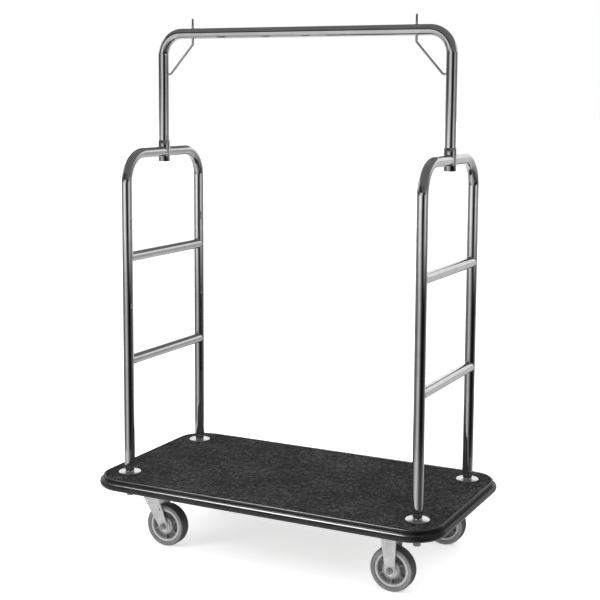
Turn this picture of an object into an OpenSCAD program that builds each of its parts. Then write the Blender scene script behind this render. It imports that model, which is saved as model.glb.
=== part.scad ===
// Hotel luggage cart: a carpeted deck on two swivel and two rigid casters, a welded tube
// ladder at each end, and a hanging rail that stands in a socket on each ladder.
// Frame: origin on the floor under the deck's centre, X along the deck, +Z up, millimetres.
// The swivel casters are at the left end (-X) and trail towards +X.

/* [Deck] */
// Overall length over the bumper
deck_l = 1119; // [950:1:1400]
// Overall width over the bumper
deck_w = 612; // [510:1:750]
// Corner radius over the bumper
deck_r = 100; // [70:1:130]
// Thickness of the carpet
carpet_t = 6; // [3:0.5:10]
// Thickness of the plywood board
board_t = 18; // [15:0.5:25]

/* [Bumper] */
// Width of the bumper, from the board's edge outwards
bumper_w = 17; // [14:0.5:22]
// Radius of the bumper's bulging outer face
bulge_r = 13; // [10:0.5:14]
// Height of the bulge's middle under the deck's top
bulge_drop = 20; // [18:0.5:23]
// Radius of the bead that hides the carpet's edge
bead_r = 3; // [2:0.25:4]
// How far the bead stands above the carpet
bead_rise = 1; // [0:0.25:2]
// Length of the lip under the board
lip_l = 16; // [8:1:25]
// Thickness of the lip under the board
lip_t = 3; // [2:0.5:4]

/* [Cross channels] */
// Depth of a channel, from the board to the caster plates
channel_h = 14; // [12:0.5:24]
// Width of a channel along the deck
channel_w = 170; // [160:1:200]
// Distance from the deck's end to a channel's outer edge
channel_inset = 58; // [50:1:66]
// Distance from the deck's side to a channel's end
channel_side_gap = 54; // [40:1:60]
// Sheet thickness of a channel
channel_t = 3; // [2:0.5:4]

/* [Tubes] */
// Outside diameter of all frame tubes
tube_d = 31.75; // [25:0.25:38.5]
// Wall of all frame tubes
tube_wall = 1.5; // [1:0.1:2]
// Distance from the deck's end to the posts' axes
post_inset_x = 87.5; // [80:0.5:100]
// Distance from the deck's side to the posts' axes
post_inset_y = 102; // [90:1:130]
// Height of a ladder's top bar over the deck, at the tube's axis
frame_h = 974; // [780:1:1200]
// Height of the upper rung over the deck, at its axis
upper_rung_h = 664; // [560:1:720]
// Height of the lower rung over the deck, at its axis
lower_rung_h = 349; // [250:1:450]
// Bend radius of a ladder's corners, at the tube's axis
frame_bend_r = 85; // [60:1:110]

/* [Post feet] */
// Diameter of a foot's disc
foot_d = 68; // [52:1:82]
// Height of a foot's disc over the carpet
foot_t = 4; // [3:0.5:8]
// Height of the neck between the disc and the tube
neck_h = 14; // [8:1:24]
// How much smaller the neck's radius is than the tube's
neck_step = 2; // [1:0.25:4]
// Diameter of the foot stud
stud_d = 12; // [10:0.5:14]
// Length of the plug inside the post
plug_l = 25; // [15:1:40]
// Width across the flats of the long nut under the deck
long_nut_af = 19; // [17:0.5:24]
// Length of the long nut
long_nut_h = 30; // [24:1:40]
// How far the stud runs into the long nut
stud_bite = 22; // [12:1:27]
// Outside diameter of the washer under the deck
washer_d = 28; // [24:1:36]
// Thickness of the washer
washer_t = 3; // [2:0.5:4]

/* [Hanging rail] */
// Height of the rail's axis over the axis of the ladders' top bars
rail_rise = 361; // [300:1:440]
// Bend radius of the rail's corners, at the tube's axis
rail_bend_r = 66; // [50:1:90]
// Wall of the socket around the rail's leg
socket_wall = 2.1; // [1.5:0.1:3]
// Radial clearance of the rail's leg in its socket
socket_gap = 0.05; // [0.02:0.01:0.1]
// How far the socket rises over the top bar's axis
socket_up = 35; // [25:1:50]
// How far the socket reaches under the top bar's axis
socket_down = 31; // [20:1:45]
// Thickness of the socket's floor
socket_floor = 3; // [2:0.5:5]

/* [Garment hooks] */
// Diameter of the hook rod
hook_d = 7; // [5:0.5:9]
// Distance from the rail's leg to the hook's upright
hook_inset = 106; // [80:1:140]
// Height of the hook's tip over the rail's axis
hook_tip = 45; // [35:1:70]
// Radius of the rounded tip
tip_r = 4.2; // [3.5:0.1:6]
// How far under the rail's axis the rod bends outwards
hook_elbow = 33; // [28:1:45]
// How far under the rail's axis the rod meets the leg
hook_foot = 123; // [90:1:160]
// Distance from the leg's axis to the rod's lower bend
hook_stub = 24; // [21:1:32]

/* [Casters] */
// Wheel diameter
wheel_d = 127; // [100:1:155]
// Wheel width
wheel_w = 40; // [32:1:50]
// Radius of the tyre's shoulders
shoulder_r = 5; // [3:0.5:13]
// Diameter of the wheel centre's rim
rim_d = 101; // [80:1:112]
// Space from the wheel's top to the caster's mounting face
head_h = 45; // [40:1:60]
// Distance from the deck's side to the swivels' axes
swivel_inset_y = 114; // [105:1:125]
// Distance from the deck's side to the middle of a rigid caster's wheel
rigid_inset_y = 101; // [92:1:115]
// Distance from the deck's left end to the swivels' axes
swivel_inset_x = 168.5; // [160:0.5:180]
// Distance from the deck's right end to the rigid casters' axles
rigid_inset_x = 156; // [150:0.5:165]
// How far a swivel caster's axle trails behind its swivel axis
trail = 48; // [35:1:55]
// Side clearance between the tyre and the fork
fork_gap = 3; // [2:0.5:5]
// Sheet thickness of forks and top plates
fork_t = 3; // [2:0.5:4]
// Width of a swivel fork's leg at the top
swivel_leg_w = 57; // [46:1:66]
// Width of a rigid fork's leg at the top
rigid_leg_w = 46; // [40:1:56]
// Radius of a leg's lower end
leg_end_r = 14; // [12:0.5:22]
// Length of a caster's top plate
plate_l = 96; // [90:1:104]
// Width of a caster's top plate
plate_w = 80; // [74:1:86]
// Diameter of the axle bolt
axle_d = 10; // [8:0.5:12]
// Radial clearance of the wheel's bearing on its sleeve, and of the fork on its kingpin
run_gap = 0.05; // [0.02:0.01:0.1]
// Diameter of the kingpin
kingpin_d = 12; // [10:0.5:14]
// Number of balls in a swivel's race
ball_count = 12; // [8:1:14]
// Number of windows in a wheel centre
window_count = 6; // [4:1:8]

/* [Hidden] */
$fn = 64;

// Heights over the floor, from the wheels up
axle_z = wheel_d / 2;
plate_z = wheel_d + head_h - fork_t;
channel_z = plate_z + fork_t;
board_z = channel_z + channel_h;
carpet_z = board_z + board_t;
deck_z = carpet_z + carpet_t;

// Board outline inside the bumper
board_l = deck_l - 2 * bumper_w;
board_w = deck_w - 2 * bumper_w;
board_r = deck_r - bumper_w;

// Posts, rungs and rail
tube_r = tube_d / 2;
post_x = deck_l / 2 - post_inset_x;
post_y = deck_w / 2 - post_inset_y;
neck_r = tube_r - neck_step;
foot_gap = 0.3;
post_base_z = deck_z + foot_t + neck_h;
frame_z = deck_z + frame_h;
rail_z = frame_z + rail_rise;
socket_r = tube_r + socket_gap + socket_wall;
socket_z = frame_z - socket_down;
leg_base_z = socket_z + socket_floor;
hook_r = hook_d / 2;
elbow_swell = 0.3;

// Cross channels and what hangs from them
channel_x = deck_l / 2 - channel_inset - channel_w / 2;
channel_l = deck_w - 2 * channel_side_gap;
stud_r = stud_d / 2;
plug_gap = 0.1;
screw_r = 4;
screw_head_r = 7;
screw_head_h = 3.4;
screw_hole_x = plate_l / 2 - 10;
screw_hole_y = plate_w / 2 - 12;
screw_nut_af = 13;
screw_nut_h = 6.5;

// Casters
swivel_x = -(deck_l / 2 - swivel_inset_x);
rigid_x = deck_l / 2 - rigid_inset_x;
rigid_plate_shift = -6;
fork_in = wheel_w / 2 + fork_gap;
fork_out = fork_in + fork_t;
axle_r = axle_d / 2;
sleeve_r = axle_r + 2;
bearing_r = sleeve_r + run_gap + 3;
boss_r = bearing_r + 8;
boss_w = wheel_w + 2 * (fork_gap - 1);
kingpin_r = kingpin_d / 2;
kingpin_head_r = kingpin_r + 4;
kingpin_head_h = 4;
dish_r = 20;
crown_gap = 3.5;
crown_z = plate_z - crown_gap - fork_t;
dish_z = crown_z - 5;
ball_r = 3;
ball_ring_r = 14.5;
leg_tuck = 0.05;
race_t = plate_z - (dish_z + fork_t) - 2 * ball_r - 0.1;
axle_nut_af = 17;
axle_nut_h = 8;
axle_head_h = 6.4;
axle_tail = 3;
rim_w = 32;
rim_t = 7.5;
web_t = 8;
web_ledge = 2;
spoke_w = 7;
window_turn = 25;

// ---- shared shapes ----

// A flat slab with rounded corners, centred on the Z axis
module rounded_slab(l, w, r, h) {
    linear_extrude(h) {
        square([l - 2 * r, w], center = true);
        square([l, w - 2 * r], center = true);
        for (x = [-1, 1], y = [-1, 1])
            translate([x * (l / 2 - r), y * (w / 2 - r)]) circle(r, $fn = 96);
    }
}

module tube_section(r, wall) {
    difference() {
        circle(r);
        if (wall > 0) circle(r - wall);
    }
}

// A straight run of tube in the XY plane, from a to b
module tube_run(a, b, r, wall) {
    d = b - a;
    translate([a[0], a[1], 0]) rotate([0, 0, atan2(d[1], d[0])]) rotate([0, 90, 0])
        linear_extrude(norm(d)) tube_section(r, wall);
}

// Turn at the corner between directions u and v, from -180 to 180 degrees
function turn(u, v) = atan2(u[0] * v[1] - u[1] * v[0], u * v);
function unit(v) = v / norm(v);
// How far a bend of radius r reaches from the corner along each leg
function bend_reach(r, angle) = r * tan(abs(angle) / 2);

// The bend at corner b of the path a-b-c
module tube_bend(a, b, c, bend_r, r, wall) {
    u = unit(b - a);
    v = unit(c - b);
    angle = turn(u, v);
    side = sign(angle);
    start = b - u * bend_reach(bend_r, angle);
    centre = start + side * bend_r * [-u[1], u[0]];
    from = atan2(u[1], u[0]) - side * 90;
    translate([centre[0], centre[1], 0]) rotate([0, 0, side > 0 ? from : from + angle])
        rotate_extrude(angle = abs(angle), $fn = 96) translate([bend_r, 0])
            tube_section(r, wall);
}

// A bent tube or rod in the XY plane along the path's points
module bent_tube(path, bend_r, r, wall) {
    last = len(path) - 1;
    reach = [for (i = [0 : last]) (i == 0 || i == last) ? 0
        : bend_reach(bend_r, turn(path[i] - path[i - 1], path[i + 1] - path[i]))];
    for (i = [0 : last - 1]) {
        d = unit(path[i + 1] - path[i]);
        tube_run(path[i] + d * reach[i], path[i + 1] - d * reach[i + 1], r, wall);
    }
    for (i = [1 : last - 1])
        tube_bend(path[i - 1], path[i], path[i + 1], bend_r, r, wall);
}

// A solid rod in the XY plane along the path's points, with a ball at each elbow
module elbowed_rod(path, r) {
    last = len(path) - 1;
    for (i = [0 : last - 1]) tube_run(path[i], path[i + 1], r, 0);
    for (i = [1 : last - 1]) translate([path[i][0], path[i][1], 0]) rotate([0, 0, -135])
        sphere(r + elbow_swell);
}

module hexagon(af, h) {
    cylinder(h = h, r = af / sqrt(3), $fn = 6);
}

// Where a line from p touches a circle, on the side given by 1 or -1
function touch(p, c, r, side) =
    let (d = norm(p - c), base = atan2(p[1] - c[1], p[0] - c[0]), a = side * acos(r / d))
    c + r * [cos(base + a), sin(base + a)];

// ---- deck ----

module deck_board() {
    color("burlywood") difference() {
        translate([0, 0, board_z]) rounded_slab(board_l, board_w, board_r, board_t);
        for (x = [-1, 1], y = [-1, 1]) translate([x * post_x, y * post_y, board_z - 1])
            cylinder(h = board_t + 2, r = stud_r);
    }
}

// The carpet is cut out round the feet, which stand on the board
module carpet() {
    color("dimgray") difference() {
        translate([0, 0, carpet_z]) rounded_slab(board_l, board_w, board_r, carpet_t);
        for (x = [-1, 1], y = [-1, 1]) translate([x * post_x, y * post_y, carpet_z - 1])
            cylinder(h = carpet_t + 2, r = foot_d / 2 + foot_gap);
    }
}

// Section of the bumper: x is outwards from the board's edge, y is up from the floor
module bumper_section() {
    bulge_x = bumper_w - bulge_r;
    bulge_y = deck_z - bulge_drop;
    bottom = bulge_y - bulge_r;
    bead_y = deck_z + bead_rise - bead_r;
    difference() {
        union() {
            translate([bulge_x, bulge_y]) circle(bulge_r);
            translate([bead_r, bead_y]) circle(bead_r);
            translate([0, bottom]) square([bulge_x, bead_y - bottom]);
            translate([0, bulge_y]) square([2 * bead_r, bead_y - bulge_y]);
        }
        translate([-2 * bulge_r, bottom - 1]) square([2 * bulge_r, 3 * bulge_r]);
    }
    translate([-lip_l, board_z - lip_t]) square([lip_l + 1, lip_t]);
}

module bumper() {
    run_x = board_l / 2 - board_r;
    run_y = board_w / 2 - board_r;
    color("black") {
        for (s = [0, 180]) rotate([0, 0, s]) {
            translate([-run_x, -board_w / 2, 0]) rotate([90, 0, 90])
                linear_extrude(2 * run_x) mirror([1, 0]) bumper_section();
            translate([board_l / 2, run_y, 0]) rotate([90, 0, 0])
                linear_extrude(2 * run_y) bumper_section();
            translate([run_x, run_y, 0]) rotate_extrude(angle = 90, $fn = 96)
                translate([board_r, 0]) bumper_section();
            translate([run_x, -run_y, 0]) rotate([0, 0, -90])
                rotate_extrude(angle = 90, $fn = 96) translate([board_r, 0]) bumper_section();
        }
    }
}

// Plate centres of the two casters at one end: side is -1 at the left, 1 at the right
function plate_x(side) = side < 0 ? swivel_x : rigid_x + rigid_plate_shift;
function caster_y(side) = deck_w / 2 - (side < 0 ? swivel_inset_y : rigid_inset_y);

module cross_channel(side) {
    color("gray") difference() {
        translate([side * channel_x - channel_w / 2, -channel_l / 2, channel_z])
            cube([channel_w, channel_l, channel_h]);
        translate([side * channel_x - channel_w / 2 + channel_t, -channel_l / 2 - 1,
            channel_z + channel_t])
            cube([channel_w - 2 * channel_t, channel_l + 2, channel_h]);
        for (y = [-1, 1]) translate([side * post_x, y * post_y, channel_z - 1])
            cylinder(h = channel_t + 2, r = stud_r);
        for (y = [-1, 1], hx = [-1, 1], hy = [-1, 1])
            translate([plate_x(side) + hx * screw_hole_x, y * caster_y(side) + hy * screw_hole_y,
                channel_z - 1]) cylinder(h = channel_t + 2, r = screw_r);
    }
}

// ---- end ladders ----

// One post and its half of the top bar, shaped to the rail's socket where the halves meet
module frame_tube(side, y) {
    path = [[post_y, post_base_z], [post_y, frame_z], [0, frame_z]];
    color("silver") difference() {
        translate([side * post_x, 0, 0]) mirror([0, y < 0 ? 1 : 0, 0]) rotate([90, 0, 90])
            bent_tube(path, frame_bend_r, tube_r, tube_wall);
        translate([side * post_x, 0, socket_z - 1])
            cylinder(h = socket_up + socket_down + 2, r = socket_r);
    }
}

// A rung between the posts, with its ends shaped to them
module rung(side, height) {
    color("silver") translate([side * post_x, 0, deck_z + height]) difference() {
        translate([0, -post_y, 0]) rotate([-90, 0, 0])
            linear_extrude(2 * post_y) tube_section(tube_r, tube_wall);
        for (y = [-1, 1]) translate([0, y * post_y, -tube_d])
            cylinder(h = 2 * tube_d, r = tube_r);
    }
}

module rail_socket(side) {
    color("silver") difference() {
        translate([side * post_x, 0, socket_z])
            cylinder(h = socket_up + socket_down, r = socket_r);
        translate([side * post_x, 0, leg_base_z])
            cylinder(h = socket_up + socket_down, r = tube_r + socket_gap);
    }
}

module post_foot(x, y) {
    disc_t = carpet_t + foot_t;
    color("silver") translate([x * post_x, y * post_y, carpet_z]) difference() {
        union() {
            cylinder(h = disc_t, r = foot_d / 2);
            cylinder(h = disc_t + neck_h, r = neck_r);
        }
        translate([0, 0, -1]) cylinder(h = disc_t + neck_h + 2, r = stud_r);
    }
}

// Stepped studs: a plug inside each post and a threaded end through the deck
module post_studs() {
    tail_z = channel_z - washer_t - min(stud_bite, long_nut_h - 3);
    color("lightgray") for (x = [-1, 1], y = [-1, 1])
        translate([x * post_x, y * post_y, 0]) {
            translate([0, 0, tail_z]) cylinder(h = post_base_z - tail_z, r = stud_r);
            translate([0, 0, post_base_z])
                cylinder(h = plug_l, r = tube_r - tube_wall - plug_gap);
        }
}

module post_washers() {
    color("lightgray") for (x = [-1, 1], y = [-1, 1])
        translate([x * post_x, y * post_y, channel_z - washer_t]) difference() {
            cylinder(h = washer_t, r = washer_d / 2);
            translate([0, 0, -1]) cylinder(h = washer_t + 2, r = stud_r);
        }
}

// Long nuts with a chamfered, closed lower end
module post_long_nuts() {
    corner_r = long_nut_af / sqrt(3);
    color("lightgray") for (x = [-1, 1], y = [-1, 1])
        translate([x * post_x, y * post_y, channel_z - washer_t]) mirror([0, 0, 1])
            difference() {
                intersection() {
                    hexagon(long_nut_af, long_nut_h);
                    cylinder(h = long_nut_h, r1 = corner_r + long_nut_h - 1.5, r2 = corner_r - 1.5);
                }
                translate([0, 0, -1]) cylinder(h = min(stud_bite, long_nut_h - 3) + 1, r = stud_r);
            }
}

// ---- hanging rail ----

module hanging_rail() {
    path = [[-post_x, leg_base_z], [-post_x, rail_z], [post_x, rail_z], [post_x, leg_base_z]];
    color("silver") difference() {
        rotate([90, 0, 0]) bent_tube(path, rail_bend_r, tube_r, tube_wall);
        for (s = [-1, 1]) translate([s * (post_x - hook_inset), 0, rail_z - tube_d])
            cylinder(h = 2 * tube_d, r = hook_r);
    }
}

// A rod welded through the rail, bent down to the rail's leg
module garment_hook(side) {
    path = [[0, hook_tip - tip_r], [0, -hook_elbow], [hook_inset - hook_stub, -hook_foot],
        [hook_inset, -hook_foot]];
    color("silver") mirror([side < 0 ? 1 : 0, 0, 0])
        translate([post_x - hook_inset, 0, rail_z]) difference() {
            union() {
                rotate([90, 0, 0]) elbowed_rod(path, hook_r);
                translate([0, 0, hook_tip - tip_r]) sphere(tip_r);
            }
            translate([hook_inset, 0, -hook_foot - tube_d]) cylinder(h = 2 * tube_d, r = tube_r);
        }
}

// ---- casters ----
// x and y are -1 or 1 for the corner; the left casters swivel, the right ones are rigid

function axle_x(x) = x < 0 ? swivel_x + trail : rigid_x;

module at_plate(x, y) {
    translate([plate_x(x), y * caster_y(x), 0]) children();
}

module at_axle(x, y) {
    translate([axle_x(x), y * caster_y(x), axle_z]) children();
}

module plate_holes(z, h, r) {
    for (hx = [-1, 1], hy = [-1, 1])
        translate([hx * screw_hole_x, hy * screw_hole_y, z]) cylinder(h = h, r = r);
}

module top_plate(x, y) {
    color("gainsboro") at_plate(x, y) difference() {
        union() {
            translate([0, 0, plate_z]) rounded_slab(plate_l, plate_w, 10, fork_t);
            if (x < 0) translate([0, 0, plate_z - race_t])
                cylinder(h = race_t, r = dish_r - fork_t);
        }
        plate_holes(plate_z - 1, fork_t + 2, screw_r);
        if (x < 0) translate([0, 0, dish_z])
            cylinder(h = 2 * head_h, r = kingpin_r);
    }
}

// Side view of a fork leg: x along the deck from the plate's middle, y over the floor
module leg_outline(top_w, top_z, end_x) {
    end = [end_x, axle_z];
    left = [-top_w / 2, top_z];
    right = [top_w / 2, top_z];
    low_left = left + [0, -12];
    low_right = right + [0, -12];
    polygon([left, low_left, touch(low_left, end, leg_end_r - leg_tuck, 1), end,
        touch(low_right, end, leg_end_r - leg_tuck, -1), low_right, right]);
    translate(end) circle(leg_end_r);
}

module leg(y, top_w, top_z, end_x) {
    translate([0, y, 0]) rotate([90, 0, 0]) translate([0, 0, -fork_t / 2])
        linear_extrude(fork_t) leg_outline(top_w, top_z, end_x);
}

module fork(x, y) {
    top_z = x < 0 ? crown_z + fork_t : plate_z;
    top_w = x < 0 ? swivel_leg_w : rigid_leg_w;
    end_x = axle_x(x) - plate_x(x);
    color("whitesmoke") at_plate(x, y) difference() {
        union() {
            for (s = [-1, 1]) leg(s * (fork_in + fork_t / 2), top_w, top_z, end_x);
            translate([-top_w / 2, -fork_out, top_z - fork_t]) cube([top_w, 2 * fork_out, fork_t]);
            if (x < 0) translate([0, 0, dish_z]) cylinder(h = crown_z - dish_z + 1, r = dish_r);
        }
        if (x < 0) {
            translate([0, 0, dish_z + fork_t])
                cylinder(h = top_z - dish_z, r = dish_r - fork_t + 1);
            translate([0, 0, dish_z - 1]) cylinder(h = fork_t + 2, r = kingpin_r + run_gap);
            for (hole = [[-9, 134], [35, 114]]) translate([hole[0], -2 * fork_out, hole[1]])
                rotate([-90, 0, 0]) cylinder(h = 4 * fork_out, r = 2.5, $fn = 24);
        }
        translate([end_x, -2 * fork_out, axle_z]) rotate([-90, 0, 0])
            cylinder(h = 4 * fork_out, r = axle_r);
    }
}

// Kingpins riveted in the swivel plates; the forks turn on them
module swivel_kingpins() {
    color("lightgray") for (y = [-1, 1]) at_plate(-1, y) {
        translate([0, 0, dish_z - run_gap]) cylinder(h = plate_z + fork_t - dish_z + run_gap,
            r = kingpin_r);
        translate([0, 0, dish_z - run_gap - kingpin_head_h])
            cylinder(h = kingpin_head_h, r = kingpin_head_r);
    }
}

module swivel_ball_races() {
    ball_z = plate_z - race_t - ball_r;
    color("lightgray") for (y = [-1, 1], i = [0 : ball_count - 1]) at_plate(-1, y)
        rotate([0, 0, i * 360 / ball_count]) translate([ball_ring_r, 0, ball_z])
            sphere(ball_r, $fn = 32);
}

module caster_plate_screws() {
    color("lightgray") for (x = [-1, 1], y = [-1, 1]) at_plate(x, y) {
        plate_holes(plate_z, fork_t + channel_t + screw_nut_h + 1, screw_r);
        plate_holes(plate_z - screw_head_h, screw_head_h, screw_head_r);
    }
}

module caster_plate_nuts() {
    color("lightgray") for (x = [-1, 1], y = [-1, 1], hx = [-1, 1], hy = [-1, 1])
        at_plate(x, y) translate([hx * screw_hole_x, hy * screw_hole_y, channel_z + channel_t])
            difference() {
                hexagon(screw_nut_af, screw_nut_h);
                translate([0, 0, -1]) cylinder(h = screw_nut_h + 2, r = screw_r);
            }
}

// The tyre's section is a block with round shoulders, cut off at the rim
module tyre(x, y) {
    r = wheel_d / 2;
    flat = r - shoulder_r;
    color("dimgray") at_axle(x, y) rotate([90, 0, 0]) rotate_extrude($fn = 96) difference() {
        union() {
            translate([rim_d / 4, -wheel_w / 2]) square([flat - rim_d / 4, wheel_w]);
            translate([rim_d / 4, -wheel_w / 2 + shoulder_r])
                square([r - rim_d / 4, wheel_w - 2 * shoulder_r]);
            for (s = [-1, 1]) translate([flat, s * (wheel_w / 2 - shoulder_r)])
                circle(shoulder_r);
        }
        translate([0, -wheel_w]) square([rim_d / 2, 2 * wheel_w]);
    }
}

// A window between two spokes, through the web
module web_window(angle) {
    inner = boss_r + web_ledge;
    outer = rim_d / 2 - rim_t - web_ledge;
    half = 180 / window_count;
    rotate([0, 0, angle]) intersection() {
        difference() {
            cylinder(h = 2 * wheel_w, r = outer, center = true);
            cylinder(h = 3 * wheel_w, r = inner, center = true);
        }
        rotate([0, 0, half]) translate([spoke_w / 2 / sin(half), 0, 0])
            linear_extrude(2 * wheel_w, center = true)
                polygon([[0, 0], rim_d * [cos(-half), sin(-half)], rim_d * [cos(half), sin(half)]]);
    }
}

module wheel_centre(x, y) {
    outer = rim_d / 2;
    color("lightgray") at_axle(x, y) rotate([90, 0, 0]) difference() {
        union() {
            cylinder(h = boss_w, r = boss_r, center = true);
            cylinder(h = web_t, r = outer, center = true);
            difference() {
                cylinder(h = rim_w, r = outer, center = true, $fn = 96);
                cylinder(h = rim_w + 1, r = outer - rim_t, center = true);
            }
        }
        cylinder(h = boss_w + 1, r = bearing_r, center = true);
        for (i = [0 : window_count - 1]) web_window(window_turn + i * 360 / window_count);
    }
}

// A round sleeve across the wheel
module cross_sleeve(x, y, w, outer, inner) {
    at_axle(x, y) rotate([90, 0, 0]) difference() {
        cylinder(h = w, r = outer, center = true);
        cylinder(h = w + 1, r = inner, center = true);
    }
}

module bearing(x, y) {
    color("white") cross_sleeve(x, y, boss_w, bearing_r, sleeve_r + run_gap);
}

module axle_sleeve(x, y) {
    color("silver") cross_sleeve(x, y, 2 * fork_in, sleeve_r, axle_r);
}

// The bolt's head is on the inner side, so that its nut shows from the deck's side
module axle_bolt(x, y) {
    shank = 2 * fork_out + axle_nut_h + axle_tail;
    color("lightgray") at_axle(x, y) rotate([-y * 90, 0, 0]) translate([0, 0, -fork_out]) {
        cylinder(h = shank, r = axle_r);
        translate([0, 0, -axle_head_h]) hexagon(axle_nut_af, axle_head_h);
    }
}

module axle_nut(x, y) {
    color("lightgray") at_axle(x, y) rotate([-y * 90, 0, 0]) translate([0, 0, fork_out])
        difference() {
            hexagon(axle_nut_af, axle_nut_h);
            translate([0, 0, -1]) cylinder(h = axle_nut_h + 2, r = axle_r);
        }
}

// ---- nodes ----

deck_board();
carpet();
bumper();
cross_channel(-1);  // left_cross_channel
cross_channel(1);  // right_cross_channel
frame_tube(-1, -1);  // left_front_frame_tube
frame_tube(-1, 1);  // left_rear_frame_tube
frame_tube(1, -1);  // right_front_frame_tube
frame_tube(1, 1);  // right_rear_frame_tube
rung(-1, upper_rung_h);  // left_upper_rung
rung(-1, lower_rung_h);  // left_lower_rung
rung(1, upper_rung_h);  // right_upper_rung
rung(1, lower_rung_h);  // right_lower_rung
rail_socket(-1);  // left_rail_socket
rail_socket(1);  // right_rail_socket
hanging_rail();
garment_hook(-1);  // left_garment_hook
garment_hook(1);  // right_garment_hook
post_foot(-1, -1);  // front_left_post_foot
post_foot(-1, 1);  // rear_left_post_foot
post_foot(1, -1);  // front_right_post_foot
post_foot(1, 1);  // rear_right_post_foot
post_studs();
post_washers();
post_long_nuts();
caster_plate_screws();
caster_plate_nuts();
swivel_kingpins();
swivel_ball_races();

top_plate(-1, -1);  // front_left_top_plate
fork(-1, -1);  // front_left_fork
tyre(-1, -1);  // front_left_tyre
wheel_centre(-1, -1);  // front_left_wheel_centre
bearing(-1, -1);  // front_left_bearing
axle_sleeve(-1, -1);  // front_left_axle_sleeve
axle_bolt(-1, -1);  // front_left_axle_bolt
axle_nut(-1, -1);  // front_left_axle_nut

top_plate(-1, 1);  // rear_left_top_plate
fork(-1, 1);  // rear_left_fork
tyre(-1, 1);  // rear_left_tyre
wheel_centre(-1, 1);  // rear_left_wheel_centre
bearing(-1, 1);  // rear_left_bearing
axle_sleeve(-1, 1);  // rear_left_axle_sleeve
axle_bolt(-1, 1);  // rear_left_axle_bolt
axle_nut(-1, 1);  // rear_left_axle_nut

top_plate(1, -1);  // front_right_top_plate
fork(1, -1);  // front_right_fork
tyre(1, -1);  // front_right_tyre
wheel_centre(1, -1);  // front_right_wheel_centre
bearing(1, -1);  // front_right_bearing

top_plate(1, 1);  // rear_right_top_plate
fork(1, 1);  // rear_right_fork
tyre(1, 1);  // rear_right_tyre
wheel_centre(1, 1);  // rear_right_wheel_centre
bearing(1, 1);  // rear_right_bearing

for (y = [-1, 1]) axle_sleeve(1, y);  // rigid_axle_sleeves
for (y = [-1, 1]) axle_bolt(1, y);  // rigid_axle_bolts
for (y = [-1, 1]) axle_nut(1, y);  // rigid_axle_nuts
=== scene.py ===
"""Looks of the hotel luggage cart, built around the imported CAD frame.

Sizes are millimetres here and metres in the meshes. X runs along the deck, the swivel casters
are at -X, the front is -Y, and Z = 0 is the floor.
"""

import math

import bmesh
import bpy
import numpy as np
from mathutils import Matrix, Vector

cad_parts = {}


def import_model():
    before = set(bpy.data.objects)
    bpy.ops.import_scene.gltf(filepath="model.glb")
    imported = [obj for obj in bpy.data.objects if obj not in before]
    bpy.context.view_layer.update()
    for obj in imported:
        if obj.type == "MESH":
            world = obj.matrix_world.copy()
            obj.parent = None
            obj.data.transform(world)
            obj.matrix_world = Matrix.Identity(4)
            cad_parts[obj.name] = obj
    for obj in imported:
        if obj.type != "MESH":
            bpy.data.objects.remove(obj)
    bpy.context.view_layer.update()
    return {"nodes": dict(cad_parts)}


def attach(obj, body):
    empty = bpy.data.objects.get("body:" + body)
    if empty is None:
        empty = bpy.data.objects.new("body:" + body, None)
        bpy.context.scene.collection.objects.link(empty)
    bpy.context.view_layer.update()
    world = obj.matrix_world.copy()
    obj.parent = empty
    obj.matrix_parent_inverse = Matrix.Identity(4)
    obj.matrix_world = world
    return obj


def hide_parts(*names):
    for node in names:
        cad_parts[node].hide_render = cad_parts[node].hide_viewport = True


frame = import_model()

MM = 0.001
rad = math.radians

# ---- sizes, as in the CAD part ----

DECK_L, DECK_W, DECK_R = 1119.0, 612.0, 100.0
BUMPER_W = 17.0
BOARD_L, BOARD_W, BOARD_R = DECK_L - 2 * BUMPER_W, DECK_W - 2 * BUMPER_W, DECK_R - BUMPER_W
DECK_Z, CARPET_T = 210.0, 6.0
TUBE_R, TUBE_WALL = 15.875, 1.5
POST_X, POST_Y = 472.0, 204.0
FRAME_Z = DECK_Z + 974
RUNGS = {"upper": DECK_Z + 664, "lower": DECK_Z + 349}
FRAME_BEND = 85.0
POST_BASE = 228.0
RAIL_Z, RAIL_BEND = FRAME_Z + 361, 66.0
SOCKET_R, SOCKET_IN = 18.025, 15.925
SOCKET_Z, SOCKET_TOP, LEG_BASE = FRAME_Z - 31, FRAME_Z + 35, FRAME_Z - 28
HOOK_R, HOOK_INSET, HOOK_TIP, HOOK_ELBOW, HOOK_FOOT, HOOK_STUB = 3.5, 106.0, 45.0, 33.0, 123.0, 24.0
AXLE_Z, WHEEL_R, WHEEL_W, RIM_R = 63.5, 63.5, 40.0, 50.5
SWIVEL_X, SWIVEL_Y, TRAIL, RIGID_X, RIGID_Y = -391.0, 192.0, 48.0, 403.5, 205.0
LEG_END_R, LONG_NUT_H, FOOT_R = 14.0, 30.0, 34.0
FORK_IN, FORK_T = 23.0, 3.0
PLATE_Z, CROWN_TOP, DISH_Z = 169.0, 165.5, 157.5
AXLE_R, BEARING_R = 5.0, 10.05
CHANNEL_Z, WASHER_T = 172.0, 3.0


# ---- mesh tools ----

def add(name, verts, faces, material, sharp=35, merge=1e-4):
    """A mesh object from millimetre points; points closer than merge become one."""
    mesh = bpy.data.meshes.new(name)
    mesh.from_pydata([tuple(float(c) * MM for c in v) for v in verts], [], faces)
    bm = bmesh.new()
    bm.from_mesh(mesh)
    bmesh.ops.remove_doubles(bm, verts=bm.verts, dist=merge * MM)
    bmesh.ops.recalc_face_normals(bm, faces=bm.faces)
    bm.to_mesh(mesh)
    bm.free()
    mesh.shade_smooth()
    mesh.set_sharp_from_angle(angle=rad(sharp))
    obj = bpy.data.objects.new(name, mesh)
    bpy.context.collection.objects.link(obj)
    mesh.materials.append(material)
    return obj


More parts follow.
